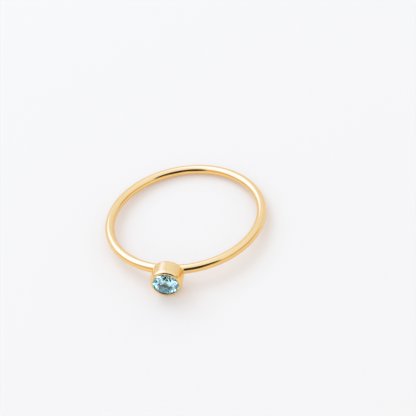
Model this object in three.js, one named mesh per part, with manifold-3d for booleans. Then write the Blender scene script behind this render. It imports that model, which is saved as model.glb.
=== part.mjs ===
// Stackable ring: a round wire band that carries one small faceted stone in a cup.
// Millimetres, +Z up. The ring lies on its side as it rests by itself, with the cup
// towards -Y. The origin is on the surface it lies on, under the middle of its outline.
import * as THREE from 'three';
import { ConvexGeometry } from 'three/addons/geometries/ConvexGeometry.js';
import { mergeVertices } from 'three/addons/utils/BufferGeometryUtils.js';
import Module from 'manifold-3d';

const wasm = await Module();
wasm.setup();

// Driving sizes of the band
const fingerDia = 17.3; // across the hole for the finger
const wireDia = 1.15; // round wire of the band

// Driving sizes of the stone
const stoneDia = 3.3; // across the girdle, its widest edge
const tableDia = 1.85; // across the corners of the flat top
const girdleHeight = 0.06; // the thin upright edge
const crownAngle = THREE.MathUtils.degToRad(34.5); // main facets above the girdle
const pavilionAngle = THREE.MathUtils.degToRad(40.8); // main facets below the girdle
const starShare = 0.5; // star facets reach this far from table to girdle
const lowerShare = 0.8; // lower facets reach this far from girdle to tip
const mainFacets = 8; // main facets around the crown, and around the pavilion

// Driving sizes of the cup
const stoneGap = 0.03; // between the stone and the cup all round
const tipGap = 0.15; // between the stone's tip and the cup's floor
const cupWall = 0.22; // wall beside the girdle
const cupFloor = 0.3; // thickness of the closed back
const seatWidth = 0.35; // ledge under the stone's edge
const lipCover = 0.1; // how far the lip reaches in over the stone
const lipRise = 0.26; // top of the lip above the girdle
const lipRound = 0.2; // rounding of the lip's outer edge
const mouthRound = 0.05; // rounding of the lip's inner edge
const backRound = 0.25; // rounding of the back edge

// How the cup sits on the band
const cupBite = 0.1; // how deep the wire is let into the cup's back
const cupTurn = THREE.MathUtils.degToRad(3); // the cup looks this far aside, as soldered
const solderDia = 1.9; // solder on the cup's back, across
const solderSlope = THREE.MathUtils.degToRad(45); // it narrows towards the wire at this angle

// Fineness of the round forms
const bandSteps = 120;
const wireSteps = 20;
const cupSteps = 60;
const solderSteps = 24;
const roundSteps = 4;

// Sizes that follow from the driving ones
const wireRadius = wireDia / 2;
const bandRadius = fingerDia / 2 + wireRadius; // to the middle of the wire
const girdleRadius = stoneDia / 2;
const tableRadius = tableDia / 2;
const facetTurn = (2 * Math.PI) / mainFacets;
const halfTurn = facetTurn / 2;
const crownHeight = (girdleRadius - tableRadius) * Math.tan(crownAngle);
const pavilionDepth = girdleRadius * Math.tan(pavilionAngle);

// Star points lie where two neighbouring main facets of the crown meet
const tableEdge = tableRadius * Math.cos(halfTurn);
const starRadius = tableEdge + (girdleRadius - tableEdge) * starShare;
const starRise = (girdleRadius - starRadius * Math.cos(halfTurn)) * Math.tan(crownAngle);

// Lower points lie where two neighbouring main facets of the pavilion meet
const lowerRadius = girdleRadius * (1 - lowerShare);
const lowerDrop = (girdleRadius - lowerRadius * Math.cos(halfTurn)) * Math.tan(pavilionAngle);

// Heights in the cup, measured outwards from its back
const girdleLow = cupFloor + tipGap + pavilionDepth;
const girdleTop = girdleLow + girdleHeight;
const cupDepth = girdleTop + lipRise;
const pocketRadius = girdleRadius + stoneGap;
const cupRadius = pocketRadius + cupWall;
const mouthRadius = girdleRadius - lipCover;
const cupBack = bandRadius + wireRadius - cupBite; // from the ring's middle to the cup's back

// Points of an arc, angles in radians from the first axis of the profile
function arc(across, along, radius, from, to) {
  const points = [];
  for (let step = 0; step <= roundSteps; step += 1) {
    const angle = from + ((to - from) * step) / roundSteps;
    points.push(new THREE.Vector2(across + radius * Math.cos(angle), along + radius * Math.sin(angle)));
  }
  return points;
}

// A closed geometry as a solid, with shared vertices merged and flat triangles dropped
function solidFrom(geometry) {
  const bare = geometry.clone();
  bare.deleteAttribute('normal');
  bare.deleteAttribute('uv');
  const merged = mergeVertices(bare, 1e-5);
  const corners = merged.getIndex().array;
  const kept = [];
  for (let i = 0; i < corners.length; i += 3) {
    const [a, b, c] = [corners[i], corners[i + 1], corners[i + 2]];
    if (a !== b && b !== c && c !== a) {
      kept.push(a, b, c);
    }
  }
  return new wasm.Manifold(new wasm.Mesh({
    numProp: 3,
    vertProperties: new Float32Array(merged.getAttribute('position').array),
    triVerts: new Uint32Array(kept),
  }));
}

// A solid as a geometry with flat shading normals
function geometryFrom(solid) {
  const mesh = solid.getMesh();
  const indexed = new THREE.BufferGeometry();
  indexed.setAttribute('position', new THREE.BufferAttribute(mesh.vertProperties, 3));
  indexed.setIndex(new THREE.BufferAttribute(mesh.triVerts, 1));
  const flat = indexed.toNonIndexed();
  flat.computeVertexNormals();
  return flat;
}

// The cup and the stone are turned shapes about their own +Y, which points out of the mouth.
// This matrix carries them onto the band, at -Y of the ring and turned a little aside.
const setting = new THREE.Group();
setting.position.y = -cupBack;
setting.rotation.order = 'ZYX';
setting.rotation.x = Math.PI;
setting.rotation.z = cupTurn;
setting.updateMatrix();

// Round wire, a full circle in the ring's plane
function makeBand() {
  return new THREE.TorusGeometry(bandRadius, wireRadius, wireSteps, bandSteps);
}

// Cup with closed back, ledge under the stone and lip over its edge
function makeCup() {
  const crownSlope = starRise / (girdleRadius - starRadius);
  const pocketTop = girdleTop + stoneGap;
  const pocketLow = girdleLow - stoneGap;
  const lipUnder = pocketTop + (pocketRadius - mouthRadius) * crownSlope;
  const seatRadius = pocketRadius - seatWidth;
  const seatLow = pocketLow - seatWidth * Math.tan(pavilionAngle);
  const quarter = Math.PI / 2;
  const profile = [
    new THREE.Vector2(0, 0),
    ...arc(cupRadius - backRound, backRound, backRound, -quarter, 0),
    ...arc(cupRadius - lipRound, cupDepth - lipRound, lipRound, 0, quarter),
    ...arc(mouthRadius + mouthRound, cupDepth - mouthRound, mouthRound, quarter, 2 * quarter),
    new THREE.Vector2(mouthRadius, lipUnder),
    new THREE.Vector2(pocketRadius, pocketTop),
    new THREE.Vector2(pocketRadius, pocketLow),
    new THREE.Vector2(seatRadius, seatLow),
    new THREE.Vector2(seatRadius, cupFloor),
    new THREE.Vector2(0, cupFloor),
  ];
  return new THREE.LatheGeometry(profile, cupSteps).applyMatrix4(setting.matrix);
}

// Solder: a short cone from the middle of the wire into the floor of the cup
function makeSolder() {
  const inFloor = cupFloor / 2;
  const inWire = cupBack - bandRadius;
  const wide = solderDia / 2 + inFloor * Math.tan(solderSlope);
  const narrow = solderDia / 2 - inWire * Math.tan(solderSlope);
  const cone = new THREE.CylinderGeometry(wide, narrow, inFloor + inWire, solderSteps);
  cone.translate(0, (inFloor - inWire) / 2, 0);
  return cone.applyMatrix4(setting.matrix);
}

// Round brilliant: the hull of its facets' corners
function makeStone() {
  const around = (angle, radius, height) =>
    new THREE.Vector3(radius * Math.sin(angle), height, radius * Math.cos(angle));
  const corners = [around(0, 0, girdleLow - pavilionDepth)];
  for (let fold = 0; fold < mainFacets; fold += 1) {
    const main = fold * facetTurn;
    const between = main + halfTurn;
    corners.push(around(main, tableRadius, girdleTop + crownHeight));
    corners.push(around(between, starRadius, girdleTop + starRise));
    for (const angle of [main, between]) {
      corners.push(around(angle, girdleRadius, girdleTop));
      corners.push(around(angle, girdleRadius, girdleLow));
    }
    corners.push(around(between, lowerRadius, girdleLow - lowerDrop));
  }
  return new ConvexGeometry(corners);
}

const gold = new THREE.MeshStandardMaterial({ color: 0xe6c48f, roughness: 0.16, metalness: 1 });
const aqua = new THREE.MeshStandardMaterial({ color: 0x9fd0dc, roughness: 0.04, metalness: 0 });

const metal = solidFrom(makeBand()).add(solidFrom(makeCup())).add(solidFrom(makeSolder()));
const bandAndCup = new THREE.Mesh(geometryFrom(metal), gold);
bandAndCup.name = 'band_and_cup';

const stone = new THREE.Mesh(makeStone(), aqua);
stone.name = 'stone';
setting.add(stone);

// On its side the ring touches down with the far side of the wire and the cup's back edge,
// so its plane rises towards the cup. The tilt is that of the line that touches both rounds.
const touchAlong = cupBack + backRound + bandRadius;
const touchDown = cupRadius - backRound;
const restTilt = Math.atan2(touchDown, touchAlong)
  + Math.asin((backRound - wireRadius) / Math.hypot(touchAlong, touchDown));

const ring = new THREE.Group();
ring.add(bandAndCup, setting);
ring.rotation.x = -restTilt;

const part = new THREE.Group();
part.add(ring);

// Stand the ring on the surface, with the middle of its outline over the origin
const extent = new THREE.Box3().setFromObject(part, true);
ring.position.x = -(extent.min.x + extent.max.x) / 2;
ring.position.y = -(extent.min.y + extent.max.y) / 2;
ring.position.z = -extent.min.z;

export default part;
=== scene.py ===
import math

import bpy
import numpy as np
from mathutils import Matrix, Vector


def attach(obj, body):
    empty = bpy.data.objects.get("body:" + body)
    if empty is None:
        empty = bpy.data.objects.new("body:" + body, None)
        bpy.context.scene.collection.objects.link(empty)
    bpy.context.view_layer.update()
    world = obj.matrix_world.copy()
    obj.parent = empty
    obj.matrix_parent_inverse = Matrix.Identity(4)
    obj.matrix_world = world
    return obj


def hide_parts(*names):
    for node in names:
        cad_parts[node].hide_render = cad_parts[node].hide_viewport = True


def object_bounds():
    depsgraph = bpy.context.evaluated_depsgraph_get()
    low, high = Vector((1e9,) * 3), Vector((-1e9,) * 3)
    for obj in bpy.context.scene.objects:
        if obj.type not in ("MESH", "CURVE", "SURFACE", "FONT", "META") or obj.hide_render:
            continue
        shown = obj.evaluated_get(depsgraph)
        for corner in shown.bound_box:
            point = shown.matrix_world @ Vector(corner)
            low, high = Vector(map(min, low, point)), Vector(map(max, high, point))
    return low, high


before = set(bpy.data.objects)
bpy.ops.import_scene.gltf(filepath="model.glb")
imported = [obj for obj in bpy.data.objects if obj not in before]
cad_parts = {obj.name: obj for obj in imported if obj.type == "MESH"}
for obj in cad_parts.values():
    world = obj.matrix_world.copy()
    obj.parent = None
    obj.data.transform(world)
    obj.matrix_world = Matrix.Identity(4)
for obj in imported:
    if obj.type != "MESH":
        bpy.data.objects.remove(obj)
cadLow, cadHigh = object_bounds()
print("frame loaded:", sorted(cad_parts))

mm = 0.001  # every object is in metres

# Sizes of the real ring, the same as the frame's wherever it has them too
bandSizes = {
    "fingerDia": 17.3 * mm,  # hole for the finger
    "wireDia": 1.15 * mm,
    "stepsAround": 720,
    "stepsAcross": 56,
    "crowding": 0.6,  # how much closer the steps lie near the cup
    "lineDrift": 0.05,  # how fast the lines along the wire change round the ring
}
stoneSizes = {
    "dia": 3.3 * mm,
    "tableDia": 1.85 * mm,
    "girdle": 0.06 * mm,
    "crownAngle": math.radians(34.5),
    "pavilionAngle": math.radians(40.8),
    "starShare": 0.5,  # how far the star facets reach from the table to the girdle
    "mainFacets": 8,
}
cupSizes = {
    "stoneGap": 0.03 * mm,
    "tipGap": 0.15 * mm,  # under the stone's point
    "wall": 0.22 * mm,
    "floor": 0.3 * mm,
    "seat": 0.35 * mm,  # width of the ledge that carries the stone
    "lipCover": 0.1 * mm,  # how far the lip reaches in over the stone
    "lipRise": 0.26 * mm,  # and how far it stands over the girdle
    "lipSlope": 0.42 * mm,  # the lip's rounding along the cup
    "lipRound": 0.31 * mm,  # and across it
    "mouthRound": 0.03 * mm,
    "backRound": 0.25 * mm,
    "bite": 0.1 * mm,  # how deep the wire is let into the back
    "turn": math.radians(3),  # the cup looks a little aside
    "trim": 0.001 * mm,  # keeps the cup a hair inside the box of the frame's own cup
    "sharpFrom": math.radians(30),  # steeper edges than this are shaded sharp
    "stepsAround": 256,
    "stepsRound": 12,
    "stepsLip": 24,
    "backRings": (0.02, 0.35, 0.7, 0.9),  # circles of points on the flat back, as shares of its radius
    "wallRings": (0.1, 0.35, 0.65, 0.9),  # and on the wall, as shares of its length
    "floorRings": (1, 0.5, 0.02),  # and on the floor inside
}
solderSizes = {
    "blend": 0.42 * mm,  # how widely wire and cup run into each other
    "reach": 0.7 * mm,  # furthest that solder stands off the wire
    "core": 0.98,  # the surface is looked for from this share of the wire's radius outwards
    "halvings": 26,  # times that the stretch in which it lies is halved
}

wireRadius = bandSizes["wireDia"] / 2
bandRadius = bandSizes["fingerDia"] / 2 + wireRadius
girdleRadius = stoneSizes["dia"] / 2
pavilionDepth = girdleRadius * math.tan(stoneSizes["pavilionAngle"])
girdleLow = cupSizes["floor"] + cupSizes["tipGap"] + pavilionDepth
girdleTop = girdleLow + stoneSizes["girdle"]
cupDepth = girdleTop + cupSizes["lipRise"]
pocketRadius = girdleRadius + cupSizes["stoneGap"]
cupRadius = pocketRadius + cupSizes["wall"]
mouthRadius = girdleRadius - cupSizes["lipCover"]
cupBack = bandRadius + wireRadius - cupSizes["bite"]

# The ring rests on the far side of its wire and on the back edge of the cup, both of them round.
# It tilts by the slope from one round's middle to the other's, and by what their radii differ.
touchAlong = cupBack + cupSizes["backRound"] + bandRadius
touchDown = cupRadius - cupSizes["backRound"]
restTilt = math.atan2(touchDown, touchAlong) + math.asin(
    (cupSizes["backRound"] - wireRadius) / math.hypot(touchAlong, touchDown))
ringMiddle = Vector((
    (cadLow.x + cadHigh.x) / 2,
    cadHigh.y - bandRadius * math.cos(restTilt) - wireRadius,
    wireRadius + bandRadius * math.sin(restTilt),
))
ringPlace = Matrix.Translation(ringMiddle) @ Matrix.Rotation(-restTilt, 4, "X")
cupPlace = ringPlace @ Matrix.Translation((0, -cupBack, 0)) @ Matrix.Rotation(cupSizes["turn"], 4, "Z")


# Camera

photo = {
    "width": 416,  # pixels each way
    "ringMiddle": (185.5, 218.4),  # pixel of the middle of the band
    "scale": 8.3218,  # pixels to a millimetre at the ring
    "distance": 302.5 * mm,
    "elevation": math.radians(39.2),  # above the ring's own plane
    "roll": math.radians(-10.9),
    "cupAside": math.radians(18.45),  # the cup points this far to the left of the camera
    "sensorWidth": 36,
    "sees": (0.01, 50),  # nearest and furthest, in metres
}


def placeCamera():
    # The camera looks down on the ring's plane by the elevation, is rolled about its line of sight
    # and turned round the ring. It stands so far aside that the ring's middle falls on its pixel.
    elevation, roll = photo["elevation"], photo["roll"]
    back = Vector((0, -math.cos(elevation), math.sin(elevation)))
    right = Vector((1, 0, 0))
    up = Vector((0, math.sin(elevation), math.cos(elevation)))
    rolledRight = math.cos(roll) * right + math.sin(roll) * up
    rolledUp = math.cos(roll) * up - math.sin(roll) * right
    pixel = mm / photo["scale"]  # how wide one is at the ring
    column, row = photo["ringMiddle"]
    across = (column - photo["width"] / 2) * pixel
    upwards = (photo["width"] / 2 - row) * pixel
    place = back * photo["distance"] - rolledRight * across - rolledUp * upwards
    local = Matrix.Translation(place) @ Matrix((rolledRight, rolledUp, back)).transposed().to_4x4()
    data = bpy.data.cameras.new("camera")
    data.sensor_width = photo["sensorWidth"]
    data.lens = data.sensor_width * photo["distance"] / (pixel * photo["width"])
    data.clip_start, data.clip_end = photo["sees"]
    camera = bpy.data.objects.new("camera", data)
    camera.matrix_world = ringPlace @ Matrix.Rotation(photo["cupAside"], 4, "Z") @ local
    bpy.context.scene.collection.objects.link(camera)
    bpy.context.scene.camera = camera
    return camera


camera = placeCamera()
print("camera height over the floor, mm:", round(camera.matrix_world.translation.z / mm, 1))


# Meshes from arrays

def placed(points, place):
    # Points in a grid of any shape, moved by a 4x4 matrix
    turn = np.array(place.to_3x3())
    shift = np.array(place.translation)
    return points @ turn.T + shift


def meshFromFaces(name, points, faces, smooth):
    mesh = bpy.data.meshes.new(name)
    mesh.from_pydata(points.tolist(), [], faces)
    mesh.polygons.foreach_set("use_smooth", np.full(len(mesh.polygons), smooth))
    mesh.validate()
    mesh.update()
    piece = bpy.data.objects.new(name, mesh)
    bpy.context.scene.collection.objects.link(piece)
    return piece


def meshFromGrid(name, points, closeRows):
    # A grid of points (rows, columns, 3) as quads whose columns close on themselves.
    # Rows close on themselves too, or else the first and last are each closed by one face.
    rows, columns = points.shape[:2]
    index = np.arange(rows * columns).reshape(rows, columns)
    below = np.roll(index, -1, axis=0)
    beside = np.roll(index, -1, axis=1)
    across = np.roll(below, -1, axis=1)
    quads = np.stack([index, below, across, beside], axis=-1)
    if closeRows:
        ends = []
    else:
        quads = quads[:-1]
        ends = [index[0].tolist(), index[-1, ::-1].tolist()]
    faces = quads.reshape(-1, 4).tolist() + ends
    return meshFromFaces(name, points.reshape(-1, 3), faces, smooth=True)


def arc(middleAcross, middleAlong, radius, fromDegrees, toDegrees, steps):
    # Points of an arc, from one angle to another
    angle = np.radians(np.linspace(fromDegrees, toDegrees, steps + 1))
    return np.stack([middleAcross + radius * np.cos(angle), middleAlong + radius * np.sin(angle)], axis=1)


# Band: round wire with the solder that joins it to the cup

def smoothLeast(first, second, width):
    # The lesser of two distances, less a quarter of width times the square of how near they are to
    # each other, which is 1 where they are alike and 0 where they differ by width or more
    near = np.maximum(width - np.abs(first - second), 0) / width
    return np.minimum(first, second) - near * near * width / 4


def distanceToCup(points):
    # The cup taken as a plain drum, a little narrower by its back's round. How far a point lies behind
    # the drum's back and how far beside its edge are the short sides of a right-angled triangle.
    local = placed(points, (ringPlace.inverted() @ cupPlace).inverted())
    behind = np.maximum(local[..., 1], 0)
    beside = np.maximum(np.hypot(local[..., 0], local[..., 2]) - cupRadius + cupSizes["backRound"], 0)
    return np.hypot(behind, beside)


def makeBand():
    # Ring angle t and section angle a: a point is the wire's middle plus r(t, a) along the section's
    # direction. r is the wire's radius, and near the cup it is where the blended distance to
    # wire and cup is nought, found by halving. t is an even angle less a share of its sine, so that
    # its steps lie closer near the cup, at nought.
    even = np.linspace(0, 2 * np.pi, bandSizes["stepsAround"], endpoint=False)
    t = even - bandSizes["crowding"] * np.sin(even)
    a = np.linspace(0, 2 * np.pi, bandSizes["stepsAcross"], endpoint=False)
    outward = np.stack([np.sin(t), -np.cos(t), np.zeros_like(t)], axis=1)[:, None, :]
    upward = np.array([0.0, 0.0, 1.0])
    direction = np.cos(a)[:, None] * outward + np.sin(a)[:, None] * upward
    low = np.full(direction.shape[:2], wireRadius * solderSizes["core"])
    high = np.full(direction.shape[:2], wireRadius + solderSizes["reach"])
    for halving in range(solderSizes["halvings"]):
        radius = (low + high) / 2
        points = bandRadius * outward + radius[..., None] * direction
        field = smoothLeast(radius - wireRadius, distanceToCup(points), solderSizes["blend"])
        solid = field < 0
        low = np.where(solid, radius, low)
        high = np.where(solid, high, radius)
    points = bandRadius * outward + low[..., None] * direction
    band = meshFromGrid("band", placed(points, ringPlace), closeRows=True)
    # The lines drawn along the wire follow a point's place in its section, (r cos a, r sin a), and
    # change only slowly round the ring, with cos t
    slow = bandSizes["lineDrift"] * bandRadius * np.cos(t)[:, None] * np.ones_like(low)
    drawn = np.stack([low * np.cos(a), low * np.sin(a), slow], axis=-1)
    band.data.attributes.new("drawn", "FLOAT_VECTOR", "POINT").data.foreach_set("vector", drawn.ravel())
    return band


# Cup: turned about its axis, with a closed back, a ledge under the stone and a lip over its edge

def starPoint():
    # Where two neighbouring main facets of the crown meet: its radius is a share of the way from the
    # table to the girdle, and its rise over the girdle follows the main facets' slope
    half = math.pi / stoneSizes["mainFacets"]
    tableEdge = stoneSizes["tableDia"] / 2 * math.cos(half)
    radius = tableEdge + (girdleRadius - tableEdge) * stoneSizes["starShare"]
    rise = (girdleRadius - radius * math.cos(half)) * math.tan(stoneSizes["crownAngle"])
    return radius, rise


def outerProfile():
    # (radius, along) from the middle of the back over its round, the wall and the lip into the mouth.
    # The lip is a quarter of an ellipse, and the other rounds are quarter circles.
    back, mouth, steps = cupSizes["backRound"], cupSizes["mouthRound"], cupSizes["stepsRound"]
    flatRadius = cupRadius - back
    wallEnd = cupDepth - cupSizes["lipSlope"]
    lip = arc(0, 0, 1, 0, 90, cupSizes["stepsLip"]) * [cupSizes["lipRound"], cupSizes["lipSlope"]]
    return np.concatenate([
        [[flatRadius * share, 0] for share in cupSizes["backRings"]],
        arc(flatRadius, back, back, -90, 0, steps),
        [[cupRadius, back + (wallEnd - back) * share] for share in cupSizes["wallRings"]],
        lip + [cupRadius - cupSizes["lipRound"], wallEnd],
        arc(mouthRadius + mouth, cupDepth - mouth, mouth, 90, 180, steps),
    ])


def pocketProfile():
    # (radius, along) from under the lip down the pocket's wall, over the ledge to the floor's middle.
    # The lip's underside follows the stone's crown and the ledge its pavilion, both a gap away.
    starRadius, starRise = starPoint()
    crownSlope = starRise / (girdleRadius - starRadius)
    top = girdleTop + cupSizes["stoneGap"]
    low = girdleLow - cupSizes["stoneGap"]
    seatRadius = pocketRadius - cupSizes["seat"]
    seatLow = low - cupSizes["seat"] * math.tan(stoneSizes["pavilionAngle"])
    lipUnder = top + (pocketRadius - mouthRadius) * crownSlope
    corners = [[mouthRadius, lipUnder], [pocketRadius, top], [pocketRadius, low], [seatRadius, seatLow]]
    floor = [[seatRadius * share, cupSizes["floor"]] for share in cupSizes["floorRings"]]
    return np.array(corners + floor)


def makeCup():
    # A point is (radius sin f, -along, radius cos f) for each point (radius, along) of the profile
    outside, pocket = outerProfile(), pocketProfile()
    profile = np.concatenate([outside, pocket])
    around = np.linspace(0, 2 * np.pi, cupSizes["stepsAround"], endpoint=False)
    radius = profile[:, :1] - cupSizes["trim"]
    along = profile[:, 1:] * np.ones_like(around)
    points = np.stack([radius * np.sin(around), -along, radius * np.cos(around)], axis=-1)
    cup = meshFromGrid("cup", placed(points, cupPlace), closeRows=False)
    # The faces of the pocket take the second material, darkened as painted shade, and so does the last,
    # which closes its floor
    inPocket = np.arange(len(profile) - 1) >= len(outside) - 1
    slots = np.concatenate([np.repeat(inPocket, cupSizes["stepsAround"]), [False, True]])
    cup.data.polygons.foreach_set("material_index", slots.astype(np.int32))
    cup.data.set_sharp_from_angle(angle=cupSizes["sharpFrom"])
    return cup


band = makeBand()
cup = makeCup()
print("metal:", len(band.data.polygons), "faces in the band,", len(cup.data.polygons), "in the cup")


# Shader nodes written as expressions

class Socket:
    # Wraps an output of a node, so that sums of sockets and numbers add Math nodes
    def __init__(self, shader, output):
        self.shader = shader
        self.output = output

    def math(self, operation, other, swap=False):
        first, second = (other, self) if swap else (self, other)
        return self.shader.node("ShaderNodeMath", {"operation": operation}, {0: first, 1: second})

    def __add__(self, other):
        return self.math("ADD", other)

    def __radd__(self, other):
        return self.math("ADD", other, swap=True)

    def __sub__(self, other):
        return self.math("SUBTRACT", other)

    def __rsub__(self, other):
        return self.math("SUBTRACT", other, swap=True)

    def __mul__(self, other):
        return self.math("MULTIPLY", other)

    def __rmul__(self, other):
        return self.math("MULTIPLY", other, swap=True)

    def __truediv__(self, other):
        return self.math("DIVIDE", other)

    def __rtruediv__(self, other):
        return self.math("DIVIDE", other, swap=True)

    def __gt__(self, other):
        return self.math("GREATER_THAN", other)


class Shader:
    # The nodes of a new material, or of a new world, with fixed values on its own surface node
    def __init__(self, name, fixed, world=False):
        self.owner = (bpy.data.worlds if world else bpy.data.materials).new(name)
        self.owner.use_nodes = True
        self.tree = self.owner.node_tree
        self.surface = self.tree.nodes["Background" if world else "Principled BSDF"]
        for socket, value in fixed.items():
            self.surface.inputs[socket].default_value = value

    def node(self, kind, settings=None, values=None, output=0):
        # Adds a node. Its settings are set first, and then its sockets get their values or links.
        made = self.tree.nodes.new(kind)
        for name, value in (settings or {}).items():
            if name == "stops":
                self.setStops(made, value)
            else:
                setattr(made, name, value)
        for name, value in (values or {}).items():
            if isinstance(value, Socket):
                self.tree.links.new(value.output, made.inputs[name])
            else:
                made.inputs[name].default_value = value
        return Socket(self, made.outputs[output])

    def setStops(self, ramp, stops):
        elements = ramp.color_ramp.elements
        while len(elements) < len(stops):
            elements.new(0.5)  # its place is set below
        for element, (position, colour) in zip(elements, stops):
            element.position = position
            element.color = colour

    def mix(self, share, first, second):
        # From the first colour to the second; a Mix node's colour sockets are 6 and 7, and 2 going out
        return self.node("ShaderNodeMix", {"data_type": "RGBA"}, {0: share, 6: first, 7: second}, 2)

    def noise(self, place, grain):
        # Cloudy pattern of values between 0 and 1
        wavesToMm, octaves, harshness = grain
        return self.node("ShaderNodeTexNoise", {}, {
            "Vector": place, "Scale": wavesToMm / mm, "Detail": octaves, "Roughness": harshness}, "Fac")

    def feed(self, socket, value):
        self.tree.links.new(value.output, self.surface.inputs[socket])


# Gold and stone. A grain is the waves to a millimetre, the octaves and how harsh these are.

polish = {
    "paleColour": (1.0, 0.685, 0.30, 1),
    "deepColour": (0.95, 0.625, 0.225, 1),
    "driftGrain": (0.25, 2, 0.5),
    "roughness": 0.09,
    "roughnessDrift": 0.06,
    "markGrain": (9.0, 4, 0.6),
    "markHeight": 0.0002 * mm,
    "waveGrain": (0.35, 1, 0.5),
    "waveHeight": 0.012 * mm,
    "lineGrain": (3.0, 2, 0.5),
    "lineHeight": 0.014 * mm,
}
satin = dict(polish, roughness=0.15, roughnessDrift=0.1, markHeight=0.0005 * mm, lineHeight=0)
# The pocket behind the stone: a rougher finish, and its grey brown colour is painted shade in that recess
dullPaintedShade = dict(satin, paleColour=(0.34, 0.31, 0.25, 1), deepColour=(0.26, 0.23, 0.18, 1), roughness=0.3)
blueStone = {
    "paleColour": (0.50, 0.78, 0.85, 1),
    "deepColour": (0.35, 0.69, 0.79, 1),
    "driftGrain": (0.8, 2, 0.5),
    "bending": 2.05,  # index of refraction
}


def goldMaterial(name, finish):
    # Gold plate: its colour drifts slightly, fine wipe marks roughen it, and long soft waves bend what
    # it reflects, as do the lines along the wire
    shader = Shader(name, {"Metallic": 1.0})
    space = shader.node("ShaderNodeTexCoord", output="Object")
    drift = shader.noise(space, finish["driftGrain"])
    shader.feed("Base Color", shader.mix(drift, finish["paleColour"], finish["deepColour"]))
    marks = shader.noise(space, finish["markGrain"])
    shader.feed("Roughness", finish["roughness"] + finish["roughnessDrift"] * (marks - 0.5))
    waves = shader.noise(space, finish["waveGrain"])
    height = finish["waveHeight"] * waves + finish["markHeight"] * marks
    if finish["lineHeight"]:
        alongWire = shader.node("ShaderNodeAttribute", {"attribute_name": "drawn"}, output="Vector")
        height = height + finish["lineHeight"] * shader.noise(alongWire, finish["lineGrain"])
    bump = shader.node("ShaderNodeBump", {}, {"Strength": 1.0, "Distance": 1.0, "Height": height}, "Normal")
    shader.feed("Normal", bump)
    return shader.owner


def stoneMaterial(name, finish):
    # Clear stone with a faint cloudy drift in its tint
    shader = Shader(name, {"Roughness": 0.0, "IOR": finish["bending"], "Transmission Weight": 1.0})
    space = shader.node("ShaderNodeTexCoord", output="Object")
    drift = shader.noise(space, finish["driftGrain"])
    shader.feed("Base Color", shader.mix(drift, finish["paleColour"], finish["deepColour"]))
    return shader.owner


band.data.materials.append(goldMaterial("gold_polished", polish))
cup.data.materials.append(goldMaterial("gold_satin", satin))
cup.data.materials.append(goldMaterial("gold_inside_painted_shade", dullPaintedShade))
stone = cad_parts["stone"]
stone.data.materials.clear()
stone.data.materials.append(stoneMaterial("blue_stone", blueStone))

for piece in (band, cup):
    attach(piece, "root")
    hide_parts("band_and_cup")
print("materials made")


# Floor

floorLook = {
    "size": 6.0,
    "colour": (0.647, 0.514, 0.337, 1),  # answers the cool light, so that the floor comes out white
    "roughness": 0.9,
    "glow": (0.25, 0.255, 0.262, 1),  # lit a little from below, which keeps the shadows pale
}


def makeFloor():
    half = floorLook["size"] / 2
    corners = np.array([[-half, -half, 0], [half, -half, 0], [half, half, 0], [-half, half, 0]])
    floor = meshFromFaces("floor", corners, [(0, 1, 2, 3)], smooth=False)
    shader = Shader("floor_pale", {
        "Base Color": floorLook["colour"], "Roughness": floorLook["roughness"],
        "Emission Color": floorLook["glow"], "Emission Strength": 1.0})
    floor.data.materials.append(shader.owner)


# Light

key = {  # soft cool light from the back left, which casts the warm shadows
    "colour": (0.31, 0.52, 1.0),
    "power": 4.1,
    "size": 0.50,
    "place": (-0.40, 0.38, 0.50),
}
sky = {
    "stops": [  # sine of the height over the horizon, and the colour there
        (0.0, (0.80, 0.86, 1.00, 1)),
        (0.35, (0.86, 0.96, 1.28, 1)),
        (0.7, (0.90, 1.06, 1.52, 1)),
        (1.0, (0.96, 1.18, 1.80, 1)),
    ],
    "strength": 1.0,
    "plain": (1.0, 1.02, 1.04, 1),  # what the camera and the stone see instead
    "bounces": 20,  # light turns back many times inside the stone
}
skyPatches = {  # middle (aside, height) and half size in degrees, how soft its edge is, what sees it
    "warmRoom": {"middle": (-15, 8), "half": (72, 26), "soft": 0.7,
                 "colour": (0.78, 0.64, 0.40, 1), "seenBy": "metal"},
    "darkSide": {"middle": (14, 24), "half": (34, 30), "soft": 0.2,
                 "colour": (0.05, 0.03, 0.012, 1), "seenBy": "metal"},
    "warmSide": {"middle": (75, 2), "half": (38, 14), "soft": 0.6,
                 "colour": (0.68, 0.52, 0.28, 1), "seenBy": "metal"},
    "window": {"middle": (-108, 49), "half": (26, 20), "soft": 0.8,
               "colour": (1.12, 1.54, 3.6, 1), "seenBy": "metal"},
    "shade": {"middle": (24, 43), "half": (12, 12), "soft": 0.4,
              "colour": (0.06, 0.20, 0.34, 1), "seenBy": "stone"},
    "blueFlash": {"middle": (42, 62), "half": (13, 11), "soft": 0.3,
                  "colour": (0.1, 3.6, 5.2, 1), "seenBy": "stone"},
    "lampFront": {"middle": (-9, 30), "half": (13, 10), "soft": 0.4,
                  "colour": (1.65, 1.6, 1.8, 1), "seenBy": "stone"},
    "lampRight": {"middle": (55, 12), "half": (10, 10), "soft": 0.3,
                  "colour": (3.0, 3.1, 3.2, 1), "seenBy": "stone"},
    "lampLeft": {"middle": (-45, 40), "half": (13, 13), "soft": 0.3,
                 "colour": (3.0, 3.1, 3.2, 1), "seenBy": "stone"},
}


def makeKey():
    data = bpy.data.lights.new("key", "AREA")
    data.energy = key["power"]
    data.color = key["colour"]
    data.size = key["size"]
    light = bpy.data.objects.new("key", data)
    place = Vector(key["place"])
    light.matrix_world = Matrix.Translation(place) @ (-place).to_track_quat("-Z", "Y").to_matrix().to_4x4()
    light.visible_glossy = False
    bpy.context.scene.collection.objects.link(light)


def fourthPower(value):
    square = value * value
    return square * square


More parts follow.
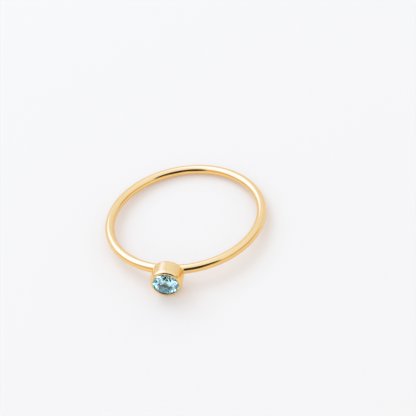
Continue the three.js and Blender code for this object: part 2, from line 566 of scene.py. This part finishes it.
def patchMask(shader, direction, patch):
    # Across and along are how far a direction lies from the patch's middle, as shares of its half size.
    # The edge runs where the sum of their fourth powers is 1, which rounds the patch's corners.
    aside, height = (math.radians(angle) for angle in patch["middle"])
    sideways = Vector((math.cos(aside), math.sin(aside), 0))
    level = Vector((math.sin(aside), -math.cos(aside), 0))
    ahead = math.cos(height) * level + math.sin(height) * Vector((0, 0, 1))
    upwards = ahead.cross(sideways)
    toAhead, toSide, toUp = (shader.node("ShaderNodeVectorMath", {"operation": "DOT_PRODUCT"}, {
        0: direction, 1: tuple(axis)}, "Value") for axis in (ahead, sideways, upwards))
    halfAcross, halfAlong = (math.tan(math.radians(angle)) for angle in patch["half"])
    across = toSide / (toAhead * halfAcross)
    along = toUp / (toAhead * halfAlong)
    mask = shader.node("ShaderNodeMapRange", {"interpolation_type": "SMOOTHSTEP"}, {
        "Value": fourthPower(across) + fourthPower(along),
        "From Min": fourthPower(1 + patch["soft"]), "From Max": fourthPower(1 - patch["soft"])})
    return mask * (toAhead > 0)


def makeSky():
    # Cool light, stronger overhead, with soft patches laid over it one after the other
    shader = Shader("soft_sky", {"Strength": sky["strength"]}, world=True)
    direction = shader.node("ShaderNodeTexCoord", output="Generated")
    height = shader.node("ShaderNodeSeparateXYZ", {}, {"Vector": direction}, "Z")
    colour = shader.node("ShaderNodeValToRGB", {"stops": sky["stops"]}, {"Fac": height})
    straight, reflected, through, floorBounces = (
        shader.node("ShaderNodeLightPath", output=kind)
        for kind in ("Is Camera Ray", "Is Glossy Ray", "Is Transmission Ray", "Diffuse Depth"))
    colour = shader.mix(straight.math("MAXIMUM", through), colour, sky["plain"])
    # The patches show in the metal or the stone, and no light from them comes to the floor
    direct = 1 - (floorBounces > 0)
    seenBy = {"metal": reflected * (1 - through) * direct, "stone": through * direct}
    for patch in skyPatches.values():
        mask = patchMask(shader, direction, patch) * seenBy[patch["seenBy"]]
        colour = shader.mix(mask, colour, patch["colour"])
    shader.feed("Color", colour)
    bpy.context.scene.world = shader.owner


makeFloor()
makeKey()
makeSky()
bpy.context.scene.view_settings.view_transform = "Standard"
bpy.context.scene.cycles.max_bounces = sky["bounces"]
bpy.context.scene.cycles.glossy_bounces = sky["bounces"]
bpy.context.scene.cycles.transmission_bounces = sky["bounces"]
print("floor and light made")
